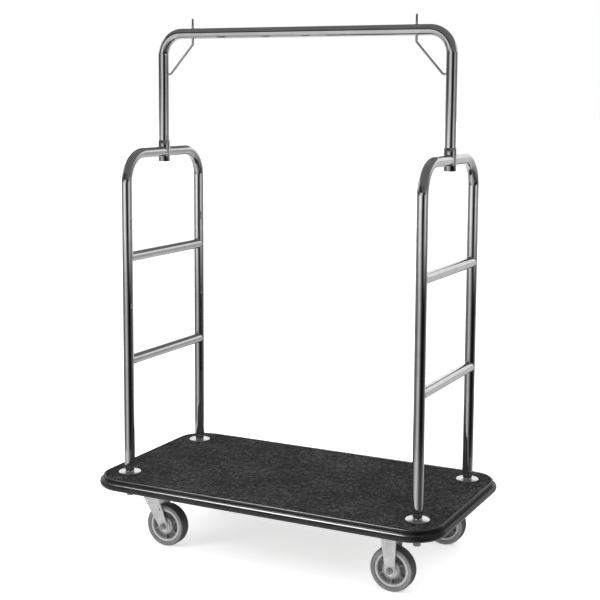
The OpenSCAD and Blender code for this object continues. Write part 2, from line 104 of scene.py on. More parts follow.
def grid_faces(rows, cols, close_rows, close_cols, first=0):
    """Quads over a grid of points, row after row."""
    out = []
    for i in range(rows if close_rows else rows - 1):
        for j in range(cols if close_cols else cols - 1):
            a, b = i * cols + j, i * cols + (j + 1) % cols
            c, d = ((i + 1) % rows) * cols + (j + 1) % cols, ((i + 1) % rows) * cols + j
            out.append((first + a, first + b, first + c, first + d))
    return out


class Shell:
    """Points and faces of one object, gathered from several closed pieces."""

    def __init__(self):
        self.verts, self.faces = [], []

    def rings(self, rings, close_rings=True, close_cols=True):
        rings = np.asarray(rings, float)
        n = len(self.verts)
        self.verts += rings.reshape(-1, 3).tolist()
        self.faces += grid_faces(rings.shape[0], rings.shape[1], close_rings, close_cols, n)

    def raw(self, verts, faces):
        n = len(self.verts)
        self.verts += [tuple(v) for v in verts]
        self.faces += [tuple(n + i for i in f) for f in faces]

    def make(self, name, material, sharp=35):
        return add(name, self.verts, self.faces, material, sharp)


def rounded(points, steps=4):
    """A closed outline with its corners rounded: points are (x, y, radius)."""
    out, n = [], len(points)
    for i, (x, y, r) in enumerate(points):
        p = np.array([x, y], float)
        if r <= 0:
            out.append(p)
            continue
        a = np.array(points[i - 1][:2], float) - p
        b = np.array(points[(i + 1) % n][:2], float) - p
        la, lb = np.linalg.norm(a), np.linalg.norm(b)
        a, b = a / la, b / lb
        half = math.acos(max(-1, min(1, float(a @ b)))) / 2
        if half > rad(89):
            out.append(p)
            continue
        reach = min(r / math.tan(half), 0.49 * la, 0.49 * lb)
        r = reach * math.tan(half)
        centre = p + (a + b) / np.linalg.norm(a + b) * r / math.sin(half)
        s, e = p + a * reach - centre, p + b * reach - centre
        turn = math.atan2(s[0] * e[1] - s[1] * e[0], float(s @ e))
        start = math.atan2(s[1], s[0])
        for k in range(steps + 1):
            t = start + turn * k / steps
            out.append(centre + r * np.array([math.cos(t), math.sin(t)]))
    return np.array(out)


def lathe(outline, centre=(0, 0, 0), axis="z", n=64):
    """Rings of a closed (radius, height) outline turned about an axis through centre."""
    a = np.linspace(0, 2 * math.pi, n, endpoint=False)[:, None]
    r, h = outline[:, 0][None], outline[:, 1][None]
    u, v, w = r * np.cos(a), r * np.sin(a), h + 0 * a
    xyz = {"z": (u, v, w), "y": (u, w, -v), "x": (w, u, v)}[axis]
    return np.stack(xyz, axis=-1) + np.array(centre, float)


def bent_path(corners, bend_r, step=3.0, straight=60.0):
    """Points and directions along a path with rounded corners."""
    corners = [np.array(c, float) for c in corners]
    at, way = [], []

    def straight_run(a, b):
        d = (b - a) / np.linalg.norm(b - a)
        k = max(1, math.ceil(np.linalg.norm(b - a) / straight))
        for i in range(k + 1):
            if i or not at:
                at.append(a + (b - a) * i / k)
                way.append(d)

    here = corners[0]
    for i in range(1, len(corners) - 1):
        u = corners[i] - corners[i - 1]
        v = corners[i + 1] - corners[i]
        u, v = u / np.linalg.norm(u), v / np.linalg.norm(v)
        angle = math.acos(max(-1, min(1, float(u @ v))))
        reach = bend_r * math.tan(angle / 2)
        start = corners[i] - u * reach
        straight_run(here, start)
        inward = v - u * float(u @ v)
        inward /= np.linalg.norm(inward)
        k = max(4, math.ceil(math.degrees(angle) / step))
        for j in range(1, k + 1):
            t = angle * j / k
            at.append(start + bend_r * (math.sin(t) * u + (1 - math.cos(t)) * inward))
            way.append(math.cos(t) * u + math.sin(t) * inward)
        here = at[-1]
    straight_run(here, corners[-1])
    return np.array(at), np.array(way)


def path_rings(at, way, side, radii, n=40):
    """Round sections of the given radii along a path that stays square to side."""
    side = np.array(side, float)
    a = np.linspace(0, 2 * math.pi, n, endpoint=False)[:, None]
    out = []
    for p, d, r in zip(at, way, radii):
        out.append(p + r * (np.cos(a) * side + np.sin(a) * np.cross(d, side)))
    return np.array(out)


def tube_rings(corners, bend_r, side, r, wall, lips=(0, 0), n=40):
    """Outer and inner rings of a tube, with a rolled lip of the given radius at either end."""
    at, way = bent_path(corners, bend_r)
    inner = path_rings(at, way, side, np.full(len(at), r - wall), n)
    ends = []
    for end, lip in zip((0, -1), lips):
        if lip:
            sign = -1 if end else 1
            p, d = at[end], way[end]
            t = np.linspace(0, math.pi / 2, 6)
            spots = [p + d * sign * lip * (1 - math.sin(x)) for x in t]
            sizes = [r - lip * (1 - math.cos(x)) for x in t]
            ends.append(path_rings(spots, [d] * 6, side, sizes, n))
            at[end] = p + d * sign * lip
        else:
            ends.append(None)
    outer = path_rings(at, way, side, np.full(len(at), r), n)
    if ends[0] is not None:
        outer = np.concatenate([ends[0][::-1], outer[1:]])
    if ends[1] is not None:
        outer = np.concatenate([outer[:-1], ends[1]])
    return outer, inner


def bead(shell, curve, axis, r, n=8):
    """A small weld bead along a closed curve."""
    axis = np.array(axis, float)
    tangent = np.roll(curve, -1, 0) - np.roll(curve, 1, 0)
    tangent /= np.linalg.norm(tangent, axis=1)[:, None]
    a = axis - tangent * (tangent @ axis)[:, None]
    a /= np.linalg.norm(a, axis=1)[:, None]
    b = np.cross(tangent, a)
    t = np.linspace(0, 2 * math.pi, n, endpoint=False)
    shell.rings([c + r * (np.cos(t)[:, None] * u + np.sin(t)[:, None] * w)
                 for c, u, w in zip(curve, a, b)])


def bake(obj, sharp=35):
    """Applies the object's modifiers."""
    bpy.context.view_layer.update()
    mesh = bpy.data.meshes.new_from_object(
        obj.evaluated_get(bpy.context.evaluated_depsgraph_get()))
    obj.modifiers.clear()
    obj.data = mesh
    mesh.shade_smooth()
    mesh.set_sharp_from_angle(angle=rad(sharp))
    return obj


def combine(obj, other, how):
    """Boolean of two closed meshes; the second one goes away."""
    m = obj.modifiers.new("combine", "BOOLEAN")
    m.operation, m.solver, m.object = how, "EXACT", other
    bake(obj)
    bpy.data.objects.remove(other)
    return obj


def hex_rings(flats, z0, z1, chamfer, n=72, low=True, high=True):
    """Solid hexagon bar between two heights, its corners turned off at 30 degrees."""
    t = np.linspace(0, 2 * math.pi, n, endpoint=False)
    local = (t + math.pi / 6) % (math.pi / 3) - math.pi / 6
    shape = flats / 2 / np.cos(local)
    corner = flats / math.sqrt(3)
    levels = [(z0, 0.0)]
    if low:
        levels += [(z0, corner - chamfer), (z0 + chamfer * 0.58, corner)]
    else:
        levels += [(z0, corner)]
    if high:
        levels += [(z1 - chamfer * 0.58, corner), (z1, corner - chamfer)]
    else:
        levels += [(z1, corner)]
    levels += [(z1, 0.0)]
    rows = []
    for (za, ra), (zb, rb) in zip(levels[:-1], levels[1:]):
        k = 6 if abs(ra - rb) > 0.1 and min(ra, rb) > 1 else 1
        rows += [(za + (zb - za) * i / k, ra + (rb - ra) * i / k) for i in range(k)]
    rows.append(levels[-1])
    return np.array([[(min(r, s) * math.cos(a), min(r, s) * math.sin(a), z)
                      for a, s in zip(t, shape)] for z, r in rows])


def turned(rings, rotation, centre):
    """Rings rotated by a 3x3 matrix and moved."""
    return np.asarray(rings) @ np.array(rotation, float).T + np.array(centre, float)


# ---- materials ----

class Look:
    """A Principled material that is built up from object-space textures."""

    def __init__(self, name, **values):
        self.mat = bpy.data.materials.new(name)
        self.mat.use_nodes = True
        self.tree = self.mat.node_tree
        self.bsdf = self.tree.nodes["Principled BSDF"]
        self.height = None
        for key, value in values.items():
            self.bsdf.inputs[key.replace("_", " ")].default_value = value
        self.coords = self.node("ShaderNodeTexCoord").outputs["Object"]

    def node(self, kind, **settings):
        made = self.tree.nodes.new(kind)
        for key, value in settings.items():
            setattr(made, key, value)
        return made

    def link(self, a, b):
        self.tree.links.new(a, b)

    def space(self, stretch):
        if stretch == (1, 1, 1):
            return self.coords
        m = self.node("ShaderNodeMapping")
        m.inputs["Scale"].default_value = stretch
        self.link(self.coords, m.inputs["Vector"])
        return m.outputs["Vector"]

    def noise(self, scale, detail=4.0, rough=0.55, stretch=(1, 1, 1), distort=0.0):
        t = self.node("ShaderNodeTexNoise")
        t.inputs["Scale"].default_value = scale
        t.inputs["Detail"].default_value = detail
        t.inputs["Roughness"].default_value = rough
        t.inputs["Distortion"].default_value = distort
        self.link(self.space(stretch), t.inputs["Vector"])
        return t.outputs["Fac"]

    def cells(self, scale, stretch=(1, 1, 1), feature="F1", out="Distance"):
        t = self.node("ShaderNodeTexVoronoi", feature=feature)
        t.inputs["Scale"].default_value = scale
        self.link(self.space(stretch), t.inputs["Vector"])
        return t.outputs[out]

    def radius(self, *axes):
        """Distance in millimetres from the object's own axis, over the two axes named."""
        split = self.node("ShaderNodeSeparateXYZ")
        self.link(self.coords, split.inputs[0])
        squares = [self.maths("MULTIPLY", split.outputs[k], split.outputs[k]) for k in axes]
        return self.maths("MULTIPLY", self.maths("POWER", self.maths("ADD", *squares), 0.5), 1 / MM)

    def ramp(self, value, stops):
        t = self.node("ShaderNodeValToRGB")
        e = t.color_ramp.elements
        while len(e) < len(stops):
            e.new(0.5)
        for item, (at, level) in zip(e, stops):
            item.position = at
            item.color = (*level, 1) if hasattr(level, "__len__") else (level,) * 3 + (1,)
        self.link(value, t.inputs["Fac"])
        return t.outputs["Color"]

    def span(self, value, low, high, a=0.0, b=1.0):
        t = self.node("ShaderNodeMapRange")
        for key, v in (("From Min", a), ("From Max", b), ("To Min", low), ("To Max", high)):
            t.inputs[key].default_value = v
        self.link(value, t.inputs["Value"])
        return t.outputs["Result"]

    def maths(self, how, a, b):
        t = self.node("ShaderNodeMath", operation=how)
        for socket, v in zip(t.inputs, (a, b)):
            if hasattr(v, "default_value"):
                self.link(v, socket)
            else:
                socket.default_value = v
        return t.outputs[0]

    def mix(self, fac, a, b, how="MIX"):
        t = self.node("ShaderNodeMix", data_type="RGBA", blend_type=how)
        for socket, v in ((t.inputs["Factor"], fac), (t.inputs[6], a), (t.inputs[7], b)):
            if hasattr(v, "default_value"):
                self.link(v, socket)
            else:
                socket.default_value = v
        return t.outputs[2]

    def colour(self, value):
        self.link(value, self.bsdf.inputs["Base Color"])

    def roughness(self, value):
        self.link(value, self.bsdf.inputs["Roughness"])

    def bump(self, value, distance, strength=1.0):
        b = self.node("ShaderNodeBump")
        b.inputs["Distance"].default_value = distance * MM
        b.inputs["Strength"].default_value = strength
        self.link(value, b.inputs["Height"])
        if self.height is not None:
            self.link(self.height, b.inputs["Normal"])
        self.height = b.outputs["Normal"]
        self.link(self.height, self.bsdf.inputs["Normal"])


def polished_steel():
    """Mirror-polished tube: soft smears, hairline scratches and a faint waviness."""
    m = Look("polished_steel", Metallic=1.0)
    smear = m.noise(9, 5, 0.6, distort=0.6)
    tone = m.noise(38, 3)
    m.colour(m.ramp(m.maths("MULTIPLY", smear, tone), [(0.12, 0.70), (0.36, 0.80)]))
    lines = m.noise(240, 2, 0.5, stretch=(1, 1, 0.04))
    m.roughness(m.span(m.maths("ADD", smear, m.maths("MULTIPLY", lines, 0.5)),
                       0.012, 0.055, 0.45, 1.0))
    m.bump(lines, 0.003, 0.3)
    m.bump(m.noise(14, 2), 0.04, 0.2)
    return m.mat


def zinc_steel(name="zinc_steel", shade_factor=1.0):
    """Bright zinc plate: fine spangle, duller patches and small handling marks. The last argument
    scales the whole colour down; below 1 it is a painted shade.
    """
    m = Look(name, Metallic=0.72)
    flake = m.cells(420, out="Color")
    grey = m.node("ShaderNodeRGBToBW")
    m.link(flake, grey.inputs["Color"])
    patch = m.noise(26, 5, 0.6)
    m.colour(m.mix(m.span(patch, 0.0, 1.0, 0.35, 0.7), (*[0.74 * shade_factor] * 3, 1),
                   (*[0.93 * shade_factor] * 3, 1)))
    m.roughness(m.span(m.maths("ADD", grey.outputs["Val"], patch), 0.28, 0.50, 0.3, 1.5))
    m.bump(m.noise(700, 2), 0.02, 0.4)
    m.bump(m.noise(45, 3), 0.10, 0.3)
    return m.mat


def bearing_steel():
    """Ground steel with fine turning marks."""
    m = Look("bearing_steel", Metallic=1.0)
    marks = m.noise(900, 1, stretch=(0.2, 1, 1))
    m.colour(m.ramp(m.noise(60, 3), [(0.3, 0.55), (0.7, 0.68)]))
    m.roughness(m.span(marks, 0.18, 0.34))
    m.bump(marks, 0.008, 0.5)
    return m.mat


def plywood():
    """Film-faced plywood: dark resin film over a faint grain, thin plies at the edges."""
    m = Look("plywood", Roughness=0.5)
    grain = m.noise(14, 7, 0.62, stretch=(0.12, 2.2, 1), distort=0.8)
    pores = m.noise(260, 3, 0.6, stretch=(0.06, 1, 1))
    film = m.ramp(grain, [(0.25, (0.030, 0.026, 0.023)), (0.5, (0.045, 0.040, 0.036)),
                          (0.75, (0.062, 0.055, 0.050))])
    plies = m.ramp(m.noise(560, 0, stretch=(0.01, 0.01, 1)), [(0.42, 0.62), (0.56, 1.0)])
    m.colour(m.mix(0.55, m.mix(m.span(pores, 0.0, 0.45, 0.52, 0.75), film,
                               (0.020, 0.017, 0.015, 1)), plies, "MULTIPLY"))
    m.roughness(m.span(grain, 0.40, 0.62))
    m.bump(pores, 0.05, 0.5)
    return m.mat


def carpet_pile():
    """Dense cut pile: tufts a little over a millimetre across, lighter tips and trodden patches."""
    m = Look("carpet", Roughness=0.95)
    m.bsdf.inputs["Specular IOR Level"].default_value = 0.05
    m.bsdf.inputs["Sheen Weight"].default_value = 0.04
    m.bsdf.inputs["Sheen Roughness"].default_value = 0.6
    tufts = m.cells(640)
    fibre = m.noise(1500, 3, 0.7)
    nap = m.noise(150, 3, 0.7)
    clump = m.noise(62, 3, 0.6, distort=0.4)
    tread = m.noise(6.5, 4, 0.6, distort=0.5)
    tone = m.maths("ADD", m.maths("MULTIPLY", nap, 0.52), m.maths("MULTIPLY", fibre, 0.12))
    tone = m.maths("ADD", tone, m.maths("MULTIPLY", clump, 0.22))
    tone = m.maths("ADD", tone, m.maths("MULTIPLY", tread, 0.14))
    m.colour(m.ramp(tone, [(0.40, (0.003, 0.003, 0.003)), (0.50, (0.018, 0.018, 0.0185)),
                           (0.60, (0.080, 0.080, 0.082))]))
    m.bump(tufts, 0.9, 0.5)
    m.bump(nap, 1.8, 0.6)
    m.bump(fibre, 0.25, 0.5)
    return m.mat


def bumper_vinyl():
    """Extruded black vinyl: long flow lines, a fine pebble grain and grey rub marks."""
    m = Look("bumper_vinyl")
    m.bsdf.inputs["IOR"].default_value = 1.62
    rub = m.noise(11, 6, 0.68, distort=0.7)
    fine = m.noise(420, 2)
    m.colour(m.ramp(rub, [(0.42, 0.004), (0.60, 0.009), (0.78, 0.030)]))
    m.roughness(m.span(m.maths("ADD", rub, m.maths("MULTIPLY", fine, 0.4)), 0.26, 0.38, 0.4, 1.1))
    m.bump(fine, 0.015, 0.4)
    m.bump(m.noise(30, 3), 0.08, 0.3)
    return m.mat


def tyre_rubber():
    """Grey non-marking rubber: dusty, with fine scuffs, and a painted shade darkening the tread."""
    m = Look("tyre_rubber", Roughness=0.7)
    dust = m.noise(24, 6, 0.65)
    scuff = m.noise(300, 3, 0.6)
    grey = m.ramp(m.maths("ADD", m.maths("MULTIPLY", dust, 0.7), m.maths("MULTIPLY", scuff, 0.3)),
                  [(0.36, 0.17), (0.52, 0.25), (0.68, 0.34)])
    # painted shade: the outer few millimetres of radius, tread and shoulders, are darkened
    tread_shade = m.ramp(m.span(m.radius("X", "Z"), 0.0, 1.0, WHEEL_R - 4.5, WHEEL_R - 0.5),
                  [(0.0, 1.0), (0.55, 0.55), (1.0, 0.22)])
    m.colour(m.mix(1.0, grey, tread_shade, "MULTIPLY"))
    m.roughness(m.span(dust, 0.52, 0.80))
    m.bump(scuff, 0.06, 0.5)
    m.bump(m.noise(60, 3), 0.15, 0.3)
    return m.mat


def wheel_plastic():
    """Moulded light grey nylon: soft flow marks, fine texture and a painted shade in the recess
    between hub and rim.
    """
    m = Look("wheel_plastic", Roughness=0.45)
    flow = m.noise(16, 5, 0.6, distort=0.8)
    moulded = m.ramp(flow, [(0.30, 0.44), (0.52, 0.56), (0.72, 0.64)])
    # painted shade: darker with distance from the axle between hub and rim, while the hub and the
    # rim's edge stay light
    recess_shade = m.ramp(m.span(m.radius("X", "Z"), 0.0, 1.0, 17, 45),
                   [(0.0, 0.95), (0.32, 0.50), (0.60, 0.26), (0.90, 0.42), (0.93, 1.0)])
    m.colour(m.mix(1.0, moulded, recess_shade, "MULTIPLY"))
    m.roughness(m.span(m.noise(90, 4), 0.34, 0.56))
    m.bump(m.noise(520, 2), 0.02, 0.5)
    m.bump(m.noise(50, 2), 0.08, 0.25)
    return m.mat


def bearing_nylon():
    """White nylon sleeve with a waxy grease film."""
    m = Look("bearing_nylon", Roughness=0.4)
    film = m.noise(70, 4, 0.6)
    m.colour(m.ramp(film, [(0.35, (0.50, 0.48, 0.43)), (0.65, (0.78, 0.77, 0.74))]))
    m.roughness(m.span(film, 0.28, 0.52))
    m.bump(m.noise(400, 2), 0.02, 0.4)
    return m.mat


STEEL, ZINC, GROUND = polished_steel(), zinc_steel(), bearing_steel()
# the fasteners take a half-bright copy of the zinc: a painted shade
FASTENER = zinc_steel("zinc_fastener", 0.5)
WOOD, PILE, VINYL = plywood(), carpet_pile(), bumper_vinyl()
RUBBER, NYLON, BUSH = tyre_rubber(), wheel_plastic(), bearing_nylon()


def mount(obj, body, *nodes):
    """The piece rides on a body and stands for CAD nodes, which it hides."""
    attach(obj, body)
    if nodes:
        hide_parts(*nodes)
    return obj


# ---- deck ----

def outline_at(y, length, width, r):
    """Half length of a rounded rectangle at a distance y from its middle line."""
    over = abs(y) - (width / 2 - r)
    return length / 2 - r + (r if over <= 0 else math.sqrt(max(0.0, r * r - over * over)))


def wave(x, y, seed):
    """Smooth, repeatable unevenness of about one unit, a few hundred millimetres long."""
    rng = np.random.default_rng(seed)
    total = 0 * x
    for size in (240, 130, 60, 31, 17):
        for _ in range(4):
            a, p = rng.random(2) * 2 * math.pi
            total = total + np.sin((x * math.cos(a) + y * math.sin(a)) * 2 * math.pi / size + p) \
                * (size / 240) ** 0.45
    return total / 5


def carpet():
    """The carpet: its pile tips stand unevenly, and it turns down under the bead all round."""
    shell = Shell()
    nx, ny = 300, 160
    grow = 0.4
    length, width, r = BOARD_L - 2 * grow, BOARD_W - 2 * grow, BOARD_R - grow
    t = np.linspace(-1, 1, ny)
    ys = width / 2 * np.sign(t) * (1 - (1 - np.abs(t)) ** 1.15)
    rng = np.random.default_rng(7)
    top, low = [], []
    for y in ys:
        half = outline_at(y, length, width, r)
        x = np.linspace(-half, half, nx)
        edge = np.minimum(half - np.abs(x), width / 2 - abs(y))
        dip = 1.6 * np.clip(1 - edge / 4.0, 0, 1) ** 2
        nap = 0.22 * wave(x, np.full(nx, y), 3) + rng.normal(0, 0.13, nx)
        height = DECK_Z - 0.35 + nap * np.clip(edge / 4, 0, 1) - dip
        top.append(np.stack([x, np.full(nx, y), height], 1))
        low.append(np.stack([x, np.full(nx, y), np.full(nx, DECK_Z - CARPET_T + 0.02)], 1))
    top, low = np.array(top), np.array(low)
    rings = np.concatenate([top, low[::-1]])
    n = len(rings)
    shell.rings(rings, close_rings=True, close_cols=False)
    for side in (0, nx - 1):
        for i in range(ny - 1):
            a, b = i * nx + side, (i + 1) * nx + side
            c, d = (n - 2 - i) * nx + side, (n - 1 - i) * nx + side
            shell.faces.append((a, b, c, d) if side else (b, a, d, c))
    obj = shell.make("carpet_pile", PILE, 60)
    cuts = Shell()
    for x in (-1, 1):
        for y in (-1, 1):
            cuts.rings(lathe(np.array([(0, DECK_Z - 12), (FOOT_R + 0.3, DECK_Z - 12),
                                       (FOOT_R + 0.3, DECK_Z + 6), (0, DECK_Z + 6)], float),
                             (x * POST_X, y * POST_Y, 0), "z", 72))
    combine(obj, cuts.make("foot_cuts", PILE), "DIFFERENCE")
    mount(obj, "cart", "carpet")


def bumper():
    """The bumper's extrusion, bent round the deck: bead, groove, soft step, bulge and lip."""
    z = DECK_Z
    section = rounded([
        (0.0, z + 1.0, 2.4), (6.0, z + 1.0, 2.9), (6.2, z - 5.0, 2.6), (4.2, z - 7.4, 1.2),
        (4.6, z - 11.2, 1.2), (8.2, z - 11.8, 1.4), (11.4, z - 10.4, 2.4), (15.4, z - 13.6, 3.4),
        (17.0, z - 19.6, 4.5), (15.2, z - 26.5, 5.0), (11.0, z - 31.6, 4.0), (4.0, z - 33.0, 2.5),
        (0.0, z - 33.0, 0.8), (-0.05, z - 27.0, 0.4), (-16.0, z - 27.0, 0.8),
        (-16.0, z - 24.05, 0.6), (-0.05, z - 24.05, 0)], 5)
    rx, ry = BOARD_L / 2 - BOARD_R, BOARD_W / 2 - BOARD_R
    stations = []
    for k, (cx, cy) in enumerate([(rx, ry), (-rx, ry), (-rx, -ry), (rx, -ry)]):
        for a in np.linspace(k * 90, k * 90 + 90, 25):
            n = np.array([math.cos(rad(a)), math.sin(rad(a))])
            stations.append((np.array([cx, cy]) + BOARD_R * n, n))
        p, n = stations[-1]
        nx_c = [(-rx, ry), (-rx, -ry), (rx, -ry), (rx, ry)][k]
        q = np.array(nx_c) + BOARD_R * n
        runs = 12 if k % 2 == 0 else 6
        for i in range(1, runs):
            stations.append((p + (q - p) * i / runs, n))
    rings = [[(*(p + n * x), h) for x, h in section] for p, n in stations]
    shell = Shell()
    shell.rings(rings)
    mount(shell.make("bumper_extrusion", VINYL, 40), "cart", "bumper")


# ---- end ladders ----

def saddle(r, big, n):
    """How far a tube of radius r, met square by one of radius big, is cut back round its end."""
    t = np.linspace(0, 2 * math.pi, n, endpoint=False)
    return t, np.sqrt(np.maximum(0, big * big - (r * np.cos(t)) ** 2))


def frame_tube(side, y, node):
    """A post and its half of the top bar; the foot end is rolled in, the other meets the socket."""
    x = side * POST_X
    path = [(x, y * POST_Y, POST_BASE), (x, y * POST_Y, FRAME_Z), (x, 0, FRAME_Z)]
    outer, inner = tube_rings(path,
                              FRAME_BEND, (1, 0, 0), TUBE_R, TUBE_WALL, (3.2, 0), 48)
    _, back = saddle(TUBE_R, SOCKET_R, 48)
    _, back_in = saddle(TUBE_R - TUBE_WALL, SOCKET_R, 48)
    outer[-1, :, 1] = y * back
    inner[-1, :, 1] = y * back_in
    shell = Shell()
    shell.rings(np.concatenate([outer, inner[::-1]]))
    bead(shell, outer[-1] + np.array([0, y * 0.2, 0]), (0, 1, 0), 0.8)
    mount(shell.make(node + "_polished", STEEL, 50), "cart", node)


def rung(side, z, node):
    """A rung, fitted to both posts, with a dressed weld at each end."""
    x, n = side * POST_X, 48
    outer, inner = tube_rings([(x, -POST_Y, z), (x, POST_Y, z)], 10, (1, 0, 0), TUBE_R, TUBE_WALL,
                              (0, 0), n)
    _, back = saddle(TUBE_R, TUBE_R, n)
    _, back_in = saddle(TUBE_R - TUBE_WALL, TUBE_R, n)
    for k, s in ((0, -1), (-1, 1)):
        outer[k, :, 1] = s * (POST_Y - back)
        inner[k, :, 1] = s * (POST_Y - back_in)
    shell = Shell()
    shell.rings(np.concatenate([outer, inner[::-1]]))
    for k in (0, -1):
        bead(shell, outer[k], (0, 1, 0), 0.9)
    mount(shell.make(node + "_polished", STEEL, 50), "cart", node)


def socket(side, node):
    """The sleeve that takes the rail's leg: chamfered mouth, closed floor."""
    h0, h1 = SOCKET_Z, SOCKET_TOP
    profile = rounded([(0, h0, 0), (SOCKET_R, h0, 1.6), (SOCKET_R, h1, 0.9), (SOCKET_IN, h1, 0.7),
                       (SOCKET_IN, LEG_BASE, 0.5), (0, LEG_BASE, 0)], 4)
    shell = Shell()
    shell.rings(lathe(profile, (side * POST_X, 0, 0), "z", 56))
    mount(shell.make(node + "_polished", STEEL, 30), "cart", node)


def post_foot(x, y, node):
    """A turned foot: disc with an eased edge, a fillet and a short neck."""
    neck = TUBE_R - 2
    z = DECK_Z
    profile = rounded([(6.0, z - CARPET_T, 0), (FOOT_R, z - CARPET_T, 0.4), (FOOT_R, z + 4, 1.3),
                       (neck, z + 4, 2.2), (neck, z + 18, 0), (6.0, z + 18, 0)], 5)
    shell = Shell()
    shell.rings(lathe(profile, (x * POST_X, y * POST_Y, 0), "z", 72))
    mount(shell.make(node + "_polished", STEEL, 30), "cart", node)


def long_nuts():
    """The long nuts under the deck, closed at the bottom."""
    shell = Shell()
    top = CHANNEL_Z - WASHER_T
    for x in (-1, 1):
        for y in (-1, 1):
            rings = hex_rings(19, top - LONG_NUT_H, top, 1.5)
            shell.rings(rings + np.array([x * POST_X, y * POST_Y, 0]), close_rings=False)
    mount(shell.make("post_long_nuts_turned", FASTENER, 25), "cart", "post_long_nuts")


# ---- hanging rail ----

def hanging_rail():
    outer, inner = tube_rings([(-POST_X, 0, LEG_BASE), (-POST_X, 0, RAIL_Z), (POST_X, 0, RAIL_Z),
                               (POST_X, 0, LEG_BASE)], RAIL_BEND, (0, 1, 0), TUBE_R, TUBE_WALL,
                              (0.7, 0.7), 48)
    shell = Shell()
    shell.rings(np.concatenate([outer, inner[::-1]]))
    mount(shell.make("hanging_rail_polished", STEEL, 50), "rail", "hanging_rail")


def garment_hook(side, node):
    """A bent rod through the rail, with a domed tip and a small weld where it meets the tube."""
    foot = np.array([side * (POST_X - TUBE_R + 1.2), 0, RAIL_Z - HOOK_FOOT])
    upright = side * (POST_X - HOOK_INSET)
    corners = [(upright, 0, RAIL_Z + HOOK_TIP - 3.4), (upright, 0, RAIL_Z - HOOK_ELBOW),
               (side * (POST_X - HOOK_STUB - 1.5), 0, RAIL_Z - HOOK_FOOT), foot]
    at, way = bent_path(corners, 8.5, 5, 30)
    radii = np.full(len(at), HOOK_R)
    dome = np.linspace(0, math.pi / 2, 6)[1:]
    cap = [at[0] + np.array([0, 0, 3.4 * math.sin(t)]) for t in dome[::-1]]
    rings = path_rings(cap + list(at) + [at[-1]], [way[0]] * 5 + list(way) + [way[-1]], (0, 1, 0),
                       [HOOK_R * math.cos(t) for t in dome[::-1]] + list(radii) + [0.0], 24)
    shell = Shell()
    shell.rings(rings, close_rings=False)
    for spot, axis in ((RAIL_Z + TUBE_R, (0, 0, 1)), (RAIL_Z - TUBE_R, (0, 0, -1))):
        t = np.linspace(0, 2 * math.pi, 24, endpoint=False)
        down = TUBE_R - np.sqrt(TUBE_R ** 2 - (HOOK_R * np.sin(t)) ** 2)
        curve = np.stack([upright + HOOK_R * np.cos(t), HOOK_R * np.sin(t),
                          spot - axis[2] * down], 1)
        bead(shell, curve, axis, 0.9)
    t = np.linspace(0, 2 * math.pi, 24, endpoint=False)
    away = np.sqrt(TUBE_R ** 2 - (HOOK_R * np.sin(t)) ** 2)
    curve = np.stack([side * (POST_X - away), HOOK_R * np.sin(t),
                      RAIL_Z - HOOK_FOOT + HOOK_R * np.cos(t)], 1)
    bead(shell, curve, (side, 0, 0), 1.0)
    mount(shell.make(node + "_polished", STEEL, 50), "rail", node)


# ---- casters ----

def leg_edges(z, top_w, top_z, cx):
    """Lowest and highest x of a fork leg at height z, for an axle cx along from the plate."""
    end_r, low = LEG_END_R, top_z - 12
    out = []
    for s in (-1, 1):
        start = np.array([s * top_w / 2, low])
        c = np.array([cx, AXLE_Z])
        d = np.linalg.norm(start - c)
        base = math.atan2(start[1] - c[1], start[0] - c[0])
        a = base - s * math.acos(end_r / d)
        touch = c + end_r * np.array([math.cos(a), math.sin(a)])
        if z >= low:
            x = start[0]
        elif z >= touch[1]:
            k = (z - touch[1]) / (low - touch[1])
            x = touch[0] + (start[0] - touch[0]) * k
        else:
            x = cx + s * math.sqrt(max(0, end_r ** 2 - (z - AXLE_Z) ** 2))
        out.append(x)
    return out


